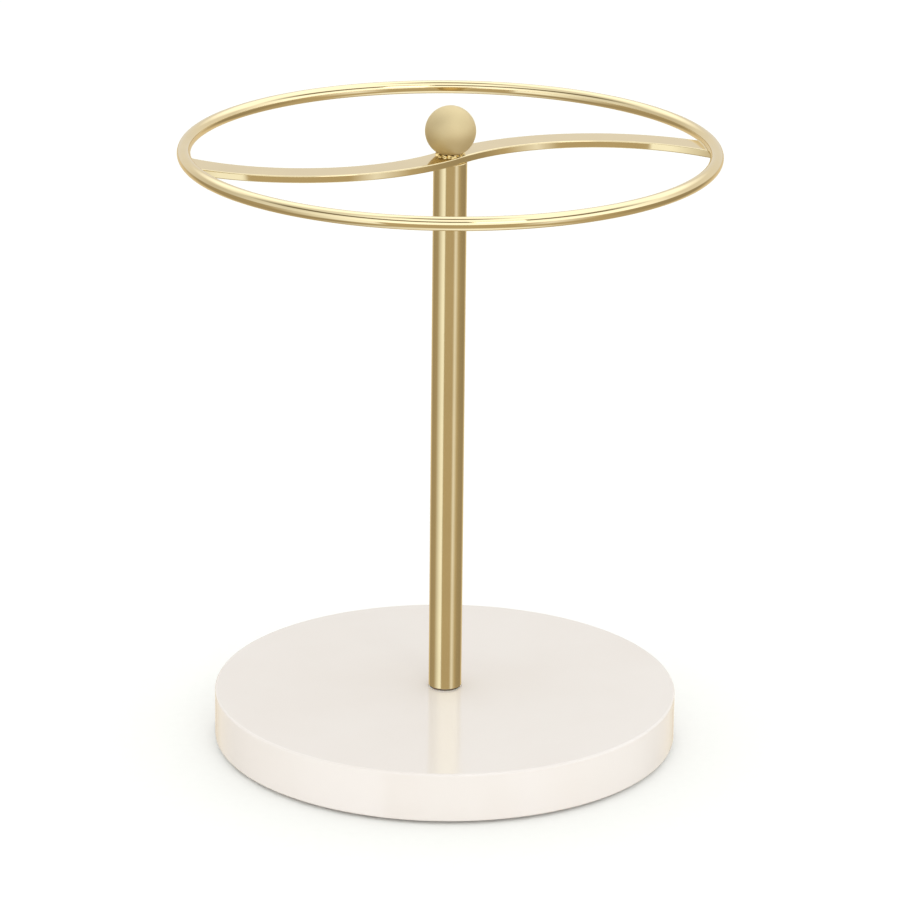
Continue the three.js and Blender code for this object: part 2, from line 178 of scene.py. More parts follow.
def sweep(name, path, segments, closed, shape=None):
    """The path turned about +Z. shape(r, z, angle) may bend the radius, for threads and knurls."""
    bm = bmesh.new()
    rows = []
    for r, z in path:
        if r < 1e-7:
            rows.append([bm.verts.new((0, 0, z))])
            continue
        row = []
        for i in range(segments):
            angle = TAU * i / segments
            radius = shape(r, z, angle) if shape else r
            row.append(bm.verts.new((radius * math.cos(angle), radius * math.sin(angle), z)))
        rows.append(row)
    pairs = list(zip(rows, rows[1:]))
    if closed:
        pairs.append((rows[-1], rows[0]))
    for a, b in pairs:
        for i in range(segments):
            j = (i + 1) % segments
            ring = [a[i % len(a)], a[j % len(a)], b[j % len(b)], b[i % len(b)]]
            face = list(dict.fromkeys(ring))
            if len(face) > 2:
                bm.faces.new(face)
    return new_object(name, to_mesh(name, bm))


def turned(name, corners, segments=96, closed=True, steps=5):
    return sweep(name, with_fillets(corners, closed, steps), segments, closed)


def washer(name, inner, outer, bottom, top, fillet, segments=96):
    corners = [(inner, bottom, fillet), (outer, bottom, fillet), (outer, top, fillet), (inner, top, fillet)]
    return turned(name, corners, segments)


def arc_path(centre_r, centre_z, radius, start_deg, end_deg, steps):
    points = []
    for step in range(steps + 1):
        angle = math.radians(start_deg + (end_deg - start_deg) * step / steps)
        points.append((centre_r + radius * math.cos(angle), centre_z + radius * math.sin(angle)))
    return points


def around(count, radius, start_deg=0):
    places = []
    for i in range(count):
        angle = math.radians(start_deg) + TAU * i / count
        places.append(Vector((radius * math.cos(angle), radius * math.sin(angle), 0)))
    return places


def skin(bm, rings):
    """Joins each ring of vertices to the next, and closes the two ends."""
    for a, b in zip(rings, rings[1:]):
        for i in range(len(a)):
            j = (i + 1) % len(a)
            bm.faces.new([a[i], a[j], b[j], b[i]])
    bm.faces.new(rings[0])
    bm.faces.new(rings[-1])


def shift_mesh(obj, offset):
    obj.data.transform(Matrix.Translation(offset))
    return obj


def bake_modifiers(obj):
    """Replaces the object's mesh with what its modifiers make of it."""
    graph = bpy.context.evaluated_depsgraph_get()
    mesh = bpy.data.meshes.new_from_object(obj.evaluated_get(graph))
    obj.modifiers.clear()
    obj.data = mesh
    return obj


def cut(obj, cutters, operation="DIFFERENCE"):
    for cutter in cutters:
        modifier = obj.modifiers.new("cut", "BOOLEAN")
        modifier.operation = operation
        modifier.solver = "EXACT"
        modifier.object = cutter
        bake_modifiers(obj)
        bpy.data.objects.remove(cutter)
    smooth(obj.data)
    return obj


def prism(name, sides, radius, bottom, top):
    bm = bmesh.new()
    rings = []
    for z in (bottom, top):
        rings.append([bm.verts.new(corner + UP * z) for corner in around(sides, radius)])
    skin(bm, rings)
    return new_object(name, to_mesh(name, bm))


# ---------------------------------------------------------------- threads and knurls

THREAD_ROWS_PER_PITCH = 8
THREAD_ROOT_WIDTH = 1.25


def thread_shape(root_depth, pitch, start, end):
    """Cuts a screw thread between two heights, running out over one pitch at each end."""
    def shape(r, z, angle):
        if not start < z < end:
            return r
        turn = (z / pitch - angle / TAU) % 1
        groove = 1 - abs(2 * turn - 1)
        runout = min(1, (z - start) / pitch, (end - z) / pitch)
        return r - root_depth * min(1, THREAD_ROOT_WIDTH * groove) * runout
    return shape


def threaded_stretch(radius, start, end, pitch):
    rows = math.ceil((end - start) / pitch * THREAD_ROWS_PER_PITCH)
    return [(radius, start + (end - start) * i / rows) for i in range(rows + 1)]


# ---------------------------------------------------------------- placing

def place(obj, body, slot, material, *nodes):
    """Finishes a piece: even shading, its material, the nodes it replaces and its body. The slot is not
    used.
    """
    even = obj.modifiers.new("even", "WEIGHTED_NORMAL")
    even.keep_sharp = True
    bake_modifiers(obj)
    obj.data.materials.clear()
    obj.data.materials.append(material)
    # The polished metal above shows the studio, not the base's white top
    obj.visible_glossy = max(corner[2] for corner in obj.bound_box) > BASE_TOP + 1 * MM
    if nodes:
        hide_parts(*nodes)
    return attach(obj, body)


# ---------------------------------------------------------------- materials

class Tree:
    """A node tree, with short ways to add, set and link nodes."""

    def __init__(self, tree):
        self.tree = tree

    def add(self, kind, values=(), **settings):
        node = self.tree.nodes.new(kind)
        for key, value in settings.items():
            setattr(node, key, value)
        for socket, value in dict(values).items():
            if isinstance(value, bpy.types.NodeSocket):
                self.tree.links.new(value, node.inputs[socket])
            else:
                node.inputs[socket].default_value = value
        return node

    def math(self, operation, *values):
        return self.add("ShaderNodeMath", enumerate(values), operation=operation).outputs[0]

    def noise(self, vector, scale, detail=3, roughness=0.5):
        values = {"Vector": vector, "Scale": scale, "Detail": detail, "Roughness": roughness}
        return self.add("ShaderNodeTexNoise", values).outputs["Fac"]

    def spread(self, value, from_low, from_high, to_low, to_high):
        values = {
            "Value": value, "From Min": from_low, "From Max": from_high, "To Min": to_low, "To Max": to_high,
        }
        return self.add("ShaderNodeMapRange", values).outputs["Result"]

    def colours(self, value, *stops):
        ramp = self.add("ShaderNodeValToRGB", {"Fac": value})
        while len(ramp.color_ramp.elements) < len(stops):
            ramp.color_ramp.elements.new(0.5)
        for element, (position, colour) in zip(ramp.color_ramp.elements, stops):
            element.position = position
            element.color = (*colour, 1)
        return ramp.outputs["Color"]


class Nodes(Tree):
    """A material's nodes round its Principled shader."""

    def __init__(self, name, **shader_values):
        self.material = bpy.data.materials.new(name)
        self.material.use_nodes = True
        super().__init__(self.material.node_tree)
        self.shader = self.tree.nodes["Principled BSDF"]
        self.coords = self.add("ShaderNodeTexCoord").outputs["Object"]
        for socket, value in shader_values.items():
            self.shader.inputs[socket.replace("_", " ")].default_value = value

    def stretched(self, x, y, z):
        """The object's coordinates in millimetres, times a factor on each axis."""
        scale = Vector((x, y, z)) / MM
        return self.add("ShaderNodeMapping", {"Vector": self.coords, "Scale": scale}).outputs["Vector"]

    def into(self, socket, value):
        self.tree.links.new(value, self.shader.inputs[socket])

    def bumps(self, *layers):
        """Stacks (height, depth in mm) layers of bump on the shader's normal."""
        normal = None
        for height, depth in layers:
            values = {"Height": height, "Distance": depth * MM, "Strength": 1}
            if normal:
                values["Normal"] = normal
            normal = self.add("ShaderNodeBump", values).outputs["Normal"]
        self.into("Normal", normal)


def scaled(colour, factor):
    return tuple(channel * factor for channel in colour)


GOLD = (0.86, 0.72, 0.43)


def satin_gold(name, roughness, grain, painted_shade_factor):
    """Satin gold plate. grain is how fine its brushing is along each axis, per millimetre.
    painted_shade_factor scales its colour down, which paints shade into a darker copy of the same plate.
    """
    m = Nodes(name, Metallic=1, Roughness=roughness)
    darker, lighter = scaled(GOLD, 0.97 * painted_shade_factor), scaled(GOLD, 1.03 * painted_shade_factor)
    brushed = m.noise(m.stretched(*grain), 1.0, detail=5, roughness=0.6)
    cloudy = m.noise(m.stretched(1, 1, 1), 0.06, detail=3)
    m.into("Base Color", m.colours(cloudy, (0.25, darker), (0.75, lighter)))
    m.into("Roughness", m.spread(brushed, 0.3, 0.7, roughness - 0.04, roughness + 0.05))
    m.bumps((brushed, 0.001))
    return m.material


def polished_gold():
    m = Nodes("polished_gold", Metallic=1, Roughness=0.1)
    cloudy = m.noise(m.stretched(1, 1, 1), 0.08, detail=4)
    smudge = m.noise(m.stretched(1, 1, 1), 0.35, detail=5, roughness=0.65)
    waves = m.noise(m.stretched(1, 1, 1), 0.22, detail=1)
    m.into("Base Color", m.colours(cloudy, (0.25, GOLD), (0.75, scaled(GOLD, 1.06))))
    m.into("Roughness", m.spread(smudge, 0.35, 0.75, 0.05, 0.12))
    m.bumps((waves, 0.02))
    return m.material


def weld_gold():
    m = Nodes("weld_gold", Metallic=1, Roughness=0.2)
    ripple = m.noise(m.stretched(1, 1, 1), 1.6, detail=3)
    m.into("Base Color", m.colours(ripple, (0.3, scaled(GOLD, 0.94)), (0.7, scaled(GOLD, 1.04))))
    m.into("Roughness", m.spread(ripple, 0.3, 0.7, 0.14, 0.28))
    m.bumps((ripple, 0.05))
    return m.material


def white_stone():
    m = Nodes("white_stone", Roughness=0.12, Coat_Weight=0.2, Coat_Roughness=0.03)
    cloudy = m.noise(m.stretched(1, 1, 1), 0.025, detail=4)
    waves = m.noise(m.stretched(1, 1, 1), 0.04, detail=1)
    m.into("Base Color", m.colours(cloudy, (0.3, (0.765, 0.71, 0.668)), (0.7, (0.785, 0.737, 0.70))))
    m.into("Roughness", m.spread(waves, 0.3, 0.7, 0.10, 0.14))
    m.bumps((waves, 0.02))
    return m.material


def foam_rubber():
    m = Nodes("foam_rubber", Roughness=0.85, Specular_IOR_Level=0.3)
    cells = m.add("ShaderNodeTexVoronoi", {"Vector": m.stretched(1, 1, 1), "Scale": 2.6}).outputs["Distance"]
    grain = m.noise(m.stretched(1, 1, 1), 3.5, detail=3)
    m.into("Base Color", m.colours(grain, (0.3, (0.018, 0.018, 0.019)), (0.7, (0.04, 0.039, 0.038))))
    m.into("Roughness", m.spread(grain, 0.3, 0.7, 0.78, 0.95))
    m.bumps((cells, 0.12), (grain, 0.03))
    return m.material


def ground_steel():
    m = Nodes("ground_steel", Metallic=1, Roughness=0.12)
    fine = m.noise(m.stretched(1, 1, 6), 2.5, detail=4)
    m.into("Base Color", m.colours(fine, (0.3, (0.60, 0.61, 0.62)), (0.7, (0.68, 0.69, 0.70))))
    m.into("Roughness", m.spread(fine, 0.3, 0.7, 0.08, 0.18))
    m.bumps((fine, 0.001))
    return m.material


def zinc_plate():
    m = Nodes("zinc_plate", Metallic=1, Roughness=0.34)
    spangle = m.add("ShaderNodeTexVoronoi", {"Vector": m.stretched(1, 1, 1), "Scale": 0.9}).outputs["Color"]
    painted_shade_factor = m.add("ShaderNodeRGBToBW", {"Color": spangle}).outputs["Val"]
    fine = m.noise(m.stretched(1, 1, 1), 3, detail=4)
    m.into("Base Color", m.colours(painted_shade_factor, (0.1, (0.50, 0.52, 0.54)), (0.9, (0.62, 0.64, 0.66))))
    m.into("Roughness", m.spread(fine, 0.3, 0.7, 0.28, 0.42))
    m.bumps((fine, 0.003))
    return m.material


def insert_brass():
    m = Nodes("insert_brass", Metallic=1, Roughness=0.3)
    rings = m.noise(m.stretched(0.3, 0.3, 9), 1, detail=3)
    m.into("Base Color", m.colours(rings, (0.3, (0.62, 0.42, 0.15)), (0.7, (0.72, 0.50, 0.20))))
    m.into("Roughness", m.spread(rings, 0.3, 0.7, 0.24, 0.4))
    m.bumps((rings, 0.004))
    return m.material


def nylon(name, darker, lighter):
    m = Nodes(name, Roughness=0.5, Subsurface_Weight=0.15, Subsurface_Scale=0.001)
    cloudy = m.noise(m.stretched(1, 1, 1), 0.5, detail=3)
    m.into("Base Color", m.colours(cloudy, (0.3, darker), (0.7, lighter)))
    m.into("Roughness", m.spread(cloudy, 0.3, 0.7, 0.45, 0.58))
    m.bumps((cloudy, 0.004))
    return m.material


POST_GOLD = satin_gold("post_gold", 0.13, (9, 9, 0.12), 1)
# The finial's gold is painted 8% darker than the post's: painted shade on the same plate.
FINIAL_GOLD = satin_gold("finial_gold", 0.64, (6, 6, 6), 0.92)
RING_GOLD = polished_gold()
WELD_GOLD = weld_gold()
STONE = white_stone()
RUBBER = foam_rubber()
BEARING_STEEL = ground_steel()
ZINC = zinc_plate()
BRASS = insert_brass()
NYLON = nylon("white_nylon", (0.78, 0.77, 0.72), (0.83, 0.82, 0.78))
# Dark brown nylon for the slip washer: painted shade for the dark line at the post's foot
SHADE_BROWN_NYLON = nylon("shade_brown_nylon", (0.11, 0.07, 0.04), (0.14, 0.09, 0.05))


# ---------------------------------------------------------------- base and pad

def base_disc():
    """The base with its bearing seat and insert holes. Its flat top has rings between centre and edge."""
    edge_round = 0.7 * MM
    liner_r = high("bore_liner").x + SEAT_GAP
    liner_z = low("bore_liner").z
    seat_r = BEARING_R + SEAT_GAP
    relief_r = OUTER_LAND_R - SEAT_GAP
    base = turned("base", [
        (RECESS_R, BASE_BOTTOM, 0.4 * MM),
        (BASE_R, BASE_BOTTOM, edge_round),
        (BASE_R, BASE_TOP, edge_round),
        (BASE_R * 0.8, BASE_TOP, 0),
        (BASE_R * 0.5, BASE_TOP, 0),
        (BASE_R * 0.25, BASE_TOP, 0),
        (liner_r, BASE_TOP, 0.15 * MM),
        (liner_r, liner_z, 0),
        (relief_r, liner_z, 0),
        (relief_r, BEARING_TOP, 0),
        (seat_r, BEARING_TOP, 0),
        (seat_r, BEARING_BOTTOM, 0.2 * MM),
        (RECESS_R, BEARING_BOTTOM, 0.3 * MM),
    ], segments=256, steps=8)
    insert_low, insert_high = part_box("screw_insert_1")
    hole_r = (insert_high.x - insert_low.x) / 2 + SEAT_GAP
    holes = []
    for spot in around(SCREW_COUNT, SCREW_CIRCLE, FIRST_SCREW_DEG):
        hole = prism("hole", 48, hole_r, RETAINER_BOTTOM, insert_high.z + SEAT_GAP)
        holes.append(shift_mesh(hole, spot))
    return cut(base, holes)


def build_base():
    place(base_disc(), "stand", "base_stone", STONE, "base_disc")
    pad = turned("pad", [
        (PAD_HOLE_R, PAD_BOTTOM, 0.2 * MM),
        (PAD_R, PAD_BOTTOM, 0.25 * MM),
        (PAD_R, PAD_TOP, 0.05 * MM),
        (PAD_HOLE_R, PAD_TOP, 0.05 * MM),
    ], segments=192)
    place(pad, "stand", "pad_rubber", RUBBER, "non_slip_pad")


# ---------------------------------------------------------------- bearing

def outer_race():
    corners = with_fillets([
        (OUTER_LAND_R, BEARING_BOTTOM, 0.15 * MM),
        (BEARING_R, BEARING_BOTTOM, 0.3 * MM),
        (BEARING_R, BEARING_TOP, 0.3 * MM),
        (OUTER_LAND_R, BEARING_TOP, 0.15 * MM),
    ], closed=True)
    groove = arc_path(PITCH_R, BEARING_MIDDLE, GROOVE_R, GROOVE_HALF_DEG, -GROOVE_HALF_DEG, 14)
    return sweep("outer_race", corners + groove, 128, closed=True)


def inner_race():
    bottom = with_fillets([
        (BEARING_BORE_R, BEARING_MIDDLE, 0),
        (BEARING_BORE_R, BEARING_BOTTOM, 0.25 * MM),
        (INNER_LAND_R, BEARING_BOTTOM, 0.15 * MM),
        (INNER_LAND_R, BEARING_MIDDLE, 0),
    ], closed=False)[:-1]
    top = [(r, 2 * BEARING_MIDDLE - z) for r, z in reversed(bottom)][:-1]
    start_deg, end_deg = 180 + GROOVE_HALF_DEG, 180 - GROOVE_HALF_DEG
    groove = arc_path(PITCH_R, BEARING_MIDDLE, GROOVE_R, start_deg, end_deg, 14)
    return sweep("inner_race", bottom + groove + top, 128, closed=True)


def cage():
    node_low, node_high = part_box("bearing_cage")
    crown = washer("cage", CAGE_INNER_R, CAGE_OUTER_R, node_low.z, node_high.z, 0.12 * MM)
    pockets = []
    for spot in around(BALL_COUNT, PITCH_R):
        pocket = sweep("pocket", arc_path(0, 0, CAGE_POCKET_R, -90, 90, 16), 32, closed=False)
        pockets.append(shift_mesh(pocket, spot + UP * BEARING_MIDDLE))
    return cut(crown, pockets)


def shield(name, node):
    """A pressed disc with a shallow step in it."""
    bottom, top = low(node).z, high(node).z
    outer = high(node).x
    step_inner, step_outer = 6.3 * MM, 6.5 * MM
    thick = 0.22 * MM
    lift = top - bottom - thick
    return turned(name, [
        (SHIELD_INNER_R, bottom, 0.03 * MM),
        (step_inner, bottom, 0.06 * MM),
        (step_outer, bottom + lift, 0.06 * MM),
        (outer, bottom + lift, 0.03 * MM),
        (outer, top, 0.08 * MM),
        (step_outer, top, 0.06 * MM),
        (step_inner, top - lift, 0.06 * MM),
        (SHIELD_INNER_R, top - lift, 0.03 * MM),
    ], segments=96, steps=3)


def build_bearing():
    place(outer_race(), "stand", "bearing_steel", BEARING_STEEL, "bearing_outer_race")
    place(inner_race(), "carousel", "bearing_steel", BEARING_STEEL, "bearing_inner_race")
    place(cage(), "rolling_set", "nylon", NYLON, "bearing_cage")
    for side in ("top", "bottom"):
        node = f"bearing_shield_{side}"
        place(shield(f"shield_{side}", node), "stand", "zinc_steel", ZINC, node)
    for i, spot in enumerate(around(BALL_COUNT, PITCH_R), 1):
        ball = sweep(f"rolling_ball_{i}", arc_path(0, 0, ROLLING_BALL_R, -90, 90, 20), 40, closed=False)
        shift_mesh(ball, spot + UP * BEARING_MIDDLE)
        place(ball, "rolling_set", "bearing_steel", BEARING_STEEL, f"bearing_ball_{i}")


# ---------------------------------------------------------------- retainer plate and its screws

def countersink(name):
    """The cutter for one screw's hole and countersink, past the plate on both sides."""
    start, end = RETAINER_BOTTOM - CUT_OVERRUN, RETAINER_TOP + CUT_OVERRUN
    slope = (SINK_MOUTH_R - SINK_THROAT_R) / SCREW_HEAD_HEIGHT
    path = [
        (0, start), (SINK_MOUTH_R + slope * CUT_OVERRUN, start),
        (SINK_THROAT_R, RETAINER_BOTTOM + SCREW_HEAD_HEIGHT), (SINK_THROAT_R, end), (0, end),
    ]
    return sweep(name, path, 48, closed=False)


def retainer():
    plate = washer("retainer", RETAINER_HOLE_R, RETAINER_R, RETAINER_BOTTOM, RETAINER_TOP, 0.15 * MM, 160)
    sinks = []
    for spot in around(SCREW_COUNT, SCREW_CIRCLE, FIRST_SCREW_DEG):
        sinks.append(shift_mesh(countersink("sink"), spot))
    return cut(plate, sinks)


def retainer_screw(name):
    """A countersunk screw with a hexagon socket, its head flush with the plate."""
    head, tip = RETAINER_BOTTOM, high("retainer_screw_1").z
    pitch, thread_depth, tip_chamfer = 0.5 * MM, 0.27 * MM, 0.3 * MM
    socket_r, socket_depth = 1.15 * MM, 0.9 * MM
    start, end = head + 1.5 * MM, tip - tip_chamfer
    path = [
        (0, head),
        *with_fillets([
            (1 * MM, head, 0), (SCREW_HEAD_R, head, 0.08 * MM),
            (SCREW_SHANK_R, head + SCREW_HEAD_HEIGHT, 0.1 * MM), (SCREW_SHANK_R, start, 0),
        ], closed=False),
        *threaded_stretch(SCREW_SHANK_R, start, end, pitch)[1:],
        (SCREW_SHANK_R - tip_chamfer, tip),
        (0, tip),
    ]
    thread = thread_shape(thread_depth, pitch, start, end)
    screw = sweep(name, path, 32, closed=False, shape=thread)
    socket = prism("socket", 6, socket_r, head - CUT_OVERRUN, head + socket_depth)
    return cut(screw, [socket])


def screw_insert(name):
    """A threaded insert, knurled outside."""
    node_low, node_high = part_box("screw_insert_1")
    outer = (node_high.x - node_low.x) / 2
    bore, end_chamfer = 1.5 * MM, 0.2 * MM
    ridges, ridge_depth, plain_end = 20, 0.14 * MM, 0.8 * MM

    def knurl(r, z, angle):
        inside = node_low.z + plain_end < z < node_high.z - plain_end and r > 2 * MM
        return r - ridge_depth * abs(math.sin(ridges / 2 * angle)) if inside else r

    height = node_high.z - node_low.z
    side = [(outer, node_low.z + height * share) for share in (0.1, 0.12, 0.48, 0.5, 0.52, 0.88, 0.9)]
    path = [
        (bore, node_high.z), (bore, node_low.z + 0.3 * MM), (bore + 0.25 * MM, node_low.z),
        (outer - end_chamfer, node_low.z), *side, (outer - end_chamfer, node_high.z),
    ]
    return sweep(name, path, 80, closed=True, shape=knurl)


def build_retainer():
    place(retainer(), "stand", "zinc_steel", ZINC, "bearing_retainer")
    for i, spot in enumerate(around(SCREW_COUNT, SCREW_CIRCLE, FIRST_SCREW_DEG), 1):
        screw = shift_mesh(retainer_screw(f"plate_screw_{i}"), spot)
        place(screw, "stand", "zinc_steel", ZINC, f"retainer_screw_{i}")
        insert = shift_mesh(screw_insert(f"insert_{i}"), spot)
        place(insert, "stand", "insert_brass", BRASS, f"screw_insert_{i}")


# ---------------------------------------------------------------- spindle and what is on it

def spindle():
    bottom, top = low("spindle").z, high("spindle").z
    bore, bore_depth, drill_point = CLAMP_SHANK_R + TAPPED_GAP, 11 * MM, 1 * MM
    return turned("spindle_shaft", [
        (0, bottom + bore_depth + drill_point, 0),
        (bore, bottom + bore_depth, 0),
        (bore, bottom + 0.3 * MM, 0),
        (bore + 0.25 * MM, bottom, 0),
        (TENON_R, bottom, 0.25 * MM),
        (TENON_R, BEARING_TOP, 0.1 * MM),
        (PLUG_R, BEARING_TOP, 0.15 * MM),
        (PLUG_R, top - 0.8 * MM, 0.3 * MM),
        (PLUG_R - 0.5 * MM, top, 0.1 * MM),
        (0, top, 0),
    ], segments=96, closed=False)


def spindle_screw():
    """A low cheese head with a hexagon socket."""
    bottom, tip = low("spindle_screw").z, high("spindle_screw").z
    under = low("spindle_washer").z
    pitch, thread_depth, tip_chamfer = 0.7 * MM, 0.36 * MM, 0.4 * MM
    start, end = under + 0.8 * MM, tip - tip_chamfer
    path = [
        (0, bottom),
        *with_fillets([
            (1.8 * MM, bottom, 0), (CLAMP_HEAD_R, bottom, 0.25 * MM), (CLAMP_HEAD_R, under, 0.08 * MM),
            (CLAMP_SHANK_R, under, 0.1 * MM), (CLAMP_SHANK_R, start, 0),
        ], closed=False),
        *threaded_stretch(CLAMP_SHANK_R, start, end, pitch)[1:],
        (CLAMP_SHANK_R - tip_chamfer, tip),
        (0, tip),
    ]
    thread = thread_shape(thread_depth, pitch, start, end)
    screw = sweep("clamp_screw", path, 48, closed=False, shape=thread)
    socket = prism("socket", 6, CLAMP_SOCKET_R, bottom - CUT_OVERRUN, bottom + CLAMP_SOCKET_DEPTH)
    return cut(screw, [socket])


def node_washer(name, node, bore, outer, fillet):
    """A plain ring as high as its node."""
    return washer(name, bore, outer, low(node).z, high(node).z, fillet)


def build_spindle():
    place(spindle(), "carousel", "zinc_steel", ZINC, "spindle")
    place(spindle_screw(), "carousel", "zinc_steel", ZINC, "spindle_screw")
    clamp_outer = high("spindle_washer").x
    clamp = node_washer("clamp_washer", "spindle_washer", CLAMP_SHANK_R + TAPPED_GAP, clamp_outer, 0.12 * MM)
    place(clamp, "carousel", "zinc_steel", ZINC, "spindle_washer")
    bush = node_washer("liner", "bore_liner", LINER_BORE_R, high("bore_liner").x, 0.12 * MM)
    place(bush, "stand", "nylon", NYLON, "bore_liner")
    # A little smaller than its node, which leaves the fine shadow line under the post. The washer's dark
    # brown is painted shade that deepens that line.
    slip_outer = high("thrust_washer").x - 0.35 * MM
    slip = washer("slip_washer", SLIP_BORE_R, slip_outer, BASE_TOP, POST_BOTTOM, 0.1 * MM)
    place(slip, "carousel", "nylon", SHADE_BROWN_NYLON, "thrust_washer")


# ---------------------------------------------------------------- post

def build_post():
    tube = turned("post", [
        (POST_BORE_R, POST_BOTTOM, 0.15 * MM),
        (POST_R, POST_BOTTOM, 0.2 * MM),
        (POST_R, POST_TOP, 0.2 * MM),
        (POST_BORE_R, POST_TOP, 0.15 * MM),
    ], segments=160)
    place(tube, "carousel", "satin_gold", POST_GOLD, "post_tube")
    plug_bottom, plug_top = low("post_top_plug").z, high("post_top_plug").z
    plug = turned("top_plug", [
        (STUD_R + TAPPED_GAP, plug_bottom, 0.2 * MM),
        (PLUG_R, plug_bottom, 0.5 * MM),
        (PLUG_R, plug_top, 0.1 * MM),
        (STUD_R + TAPPED_GAP, plug_top, 0.1 * MM),
    ], segments=96)
    place(plug, "carousel", "zinc_steel", ZINC, "post_top_plug")


# ---------------------------------------------------------------- bar

def bar_centre_line(steps):
    """Points and headings from one end to the other: two alike arcs that bend opposite ways."""
    centre = Vector((BAR_ARC_R * math.sin(BAR_TANGENT), -BAR_ARC_R * math.cos(BAR_TANGENT)))
    start = BAR_TANGENT + math.pi / 2
    reach = 2 * math.asin(RING_R / 2 / BAR_ARC_R) + BAR_OVERRUN
    half = []
    for i in range(steps + 1):
        angle = start - reach * i / steps
        along = Vector((math.cos(angle), math.sin(angle)))
        half.append((centre + along * BAR_ARC_R, Vector((along.y, -along.x))))
    other = [(-point, heading) for point, heading in reversed(half[1:])]
    return other + half


def bar_section():
    """The strip's section, as (across, up) points, with its four long edges rounded."""
    half = BAR_WIDTH / 2
    corner = 0.35 * MM
    return with_fillets([
        (-half, BAR_BOTTOM, corner), (half, BAR_BOTTOM, corner),
        (half, BAR_TOP, corner), (-half, BAR_TOP, corner),
    ], closed=True, steps=4)


def swept_strip(name, line):
    bm = bmesh.new()
    section = bar_section()
    rings = []
    for point, heading in line:
        side = Vector((-heading.y, heading.x))
        rings.append([bm.verts.new((*(point + side * across), up)) for across, up in section])
    skin(bm, rings)
    return new_object(name, to_mesh(name, bm))


def wire_ring(name, wire_r, around_steps):
    path = arc_path(RING_R, RING_HEIGHT, wire_r, 0, 360, 40)[:-1]
    return sweep(name, path, around_steps, closed=True)


def trimmed(strip):
    """Ends the strip inside the ring's wire."""
    trim = prism("trim", 480, BAR_END_R, BAR_BOTTOM - CUT_OVERRUN, BAR_TOP + CUT_OVERRUN)
    return cut(strip, [trim], "INTERSECT")


def bar():
    strip = trimmed(swept_strip("bar", bar_centre_line(96)))
    hole = prism("hole", 64, BAR_HOLE_R, BAR_BOTTOM - CUT_OVERRUN, BAR_TOP + CUT_OVERRUN)
    seat = wire_ring("seat", WIRE_R + SEAT_GAP, 384)
    return cut(strip, [hole, seat])


# ---------------------------------------------------------------- welds

def wire_stretch(name, middle, half_angle):
    """A stretch of the ring's wire, half_angle to each side of the middle angle."""
    half_steps = 12
    wire_sides = 20
    bm = bmesh.new()
    rings = []
    for i in range(2 * half_steps + 1):
        angle = middle + half_angle * (i / half_steps - 1)
        out = Vector((math.cos(angle), math.sin(angle), 0))
        ring = []
        for j in range(wire_sides):
            turn = TAU * j / wire_sides
            radius = RING_R + WIRE_R * math.cos(turn)
            height = RING_HEIGHT + WIRE_R * math.sin(turn)
            ring.append(bm.verts.new(out * radius + UP * height))
        rings.append(ring)
    skin(bm, rings)
    return new_object(name, to_mesh(name, bm))


def weld(name, side):
    """Metal run into the corners between the bar's end and the wire: both are melted into one skin,
    which lies just under their surfaces and stands proud only in the corners between them."""
    line = bar_centre_line(48)
    end_points = 9
    end = line[-end_points:] if side > 0 else line[:end_points]
    stub = trimmed(swept_strip(name, end))
    tip = min((point for point, heading in end), key=lambda point: abs(point.length - RING_R))
    wire = wire_stretch("wire", math.atan2(tip.y, tip.x), math.radians(8))
    cut(stub, [wire], "UNION")
    melt = stub.modifiers.new("melt", "REMESH")
    melt.mode = "VOXEL"
    melt.voxel_size = 0.22 * MM
    settle = stub.modifiers.new("settle", "SMOOTH")
    settle.factor = 0.5
    settle.iterations = 14
    sink = stub.modifiers.new("sink", "DISPLACE")
    sink.mid_level = 0
    sink.strength = -0.05 * MM
    bake_modifiers(stub)
    smooth(stub.data, 180)
    return stub


def build_bar_and_ring():
    place(bar(), "carousel", "polished_gold", RING_GOLD, "crossbar")
    place(wire_ring("ring", WIRE_R, 480), "carousel", "polished_gold", RING_GOLD, "display_ring")
    place(weld("weld_right", 1), "carousel", "polished_gold", WELD_GOLD)
    place(weld("weld_left", -1), "carousel", "polished_gold", WELD_GOLD)


# ---------------------------------------------------------------- finial

def finial_ball():
    middle = FINIAL_TOP - FINIAL_R
    flat_deg = -math.degrees(math.asin((middle - FINIAL_BOTTOM) / FINIAL_R))
    bore, bore_depth, drill_point = STUD_R + TAPPED_GAP, 7 * MM, 1 * MM
    skin_path = arc_path(0, middle, FINIAL_R, flat_deg + 1.5, 90, 72)[:-1]
    rim = FINIAL_R * math.cos(math.radians(flat_deg))
    path = [
        (0, FINIAL_BOTTOM + bore_depth + drill_point), (bore, FINIAL_BOTTOM + bore_depth),
        (bore, FINIAL_BOTTOM + 0.3 * MM), (bore + 0.3 * MM, FINIAL_BOTTOM),
        (rim - 0.15 * MM, FINIAL_BOTTOM), (rim, FINIAL_BOTTOM + 0.06 * MM), *skin_path, (0, FINIAL_TOP),
    ]
    return sweep("finial", path, 144, closed=False)


def finial_stud():
    bottom, top = low("finial_stud").z, high("finial_stud").z
    pitch, thread_depth, chamfer = 0.8 * MM, 0.4 * MM, 0.5 * MM
    start, end = bottom + chamfer, top - chamfer
    path = [
        (0, bottom), (STUD_R - chamfer, bottom),
        *threaded_stretch(STUD_R, start, end, pitch),
        (STUD_R - chamfer, top), (0, top),
    ]
    thread = thread_shape(thread_depth, pitch, start, end)
    return sweep("stud", path, 48, closed=False, shape=thread)


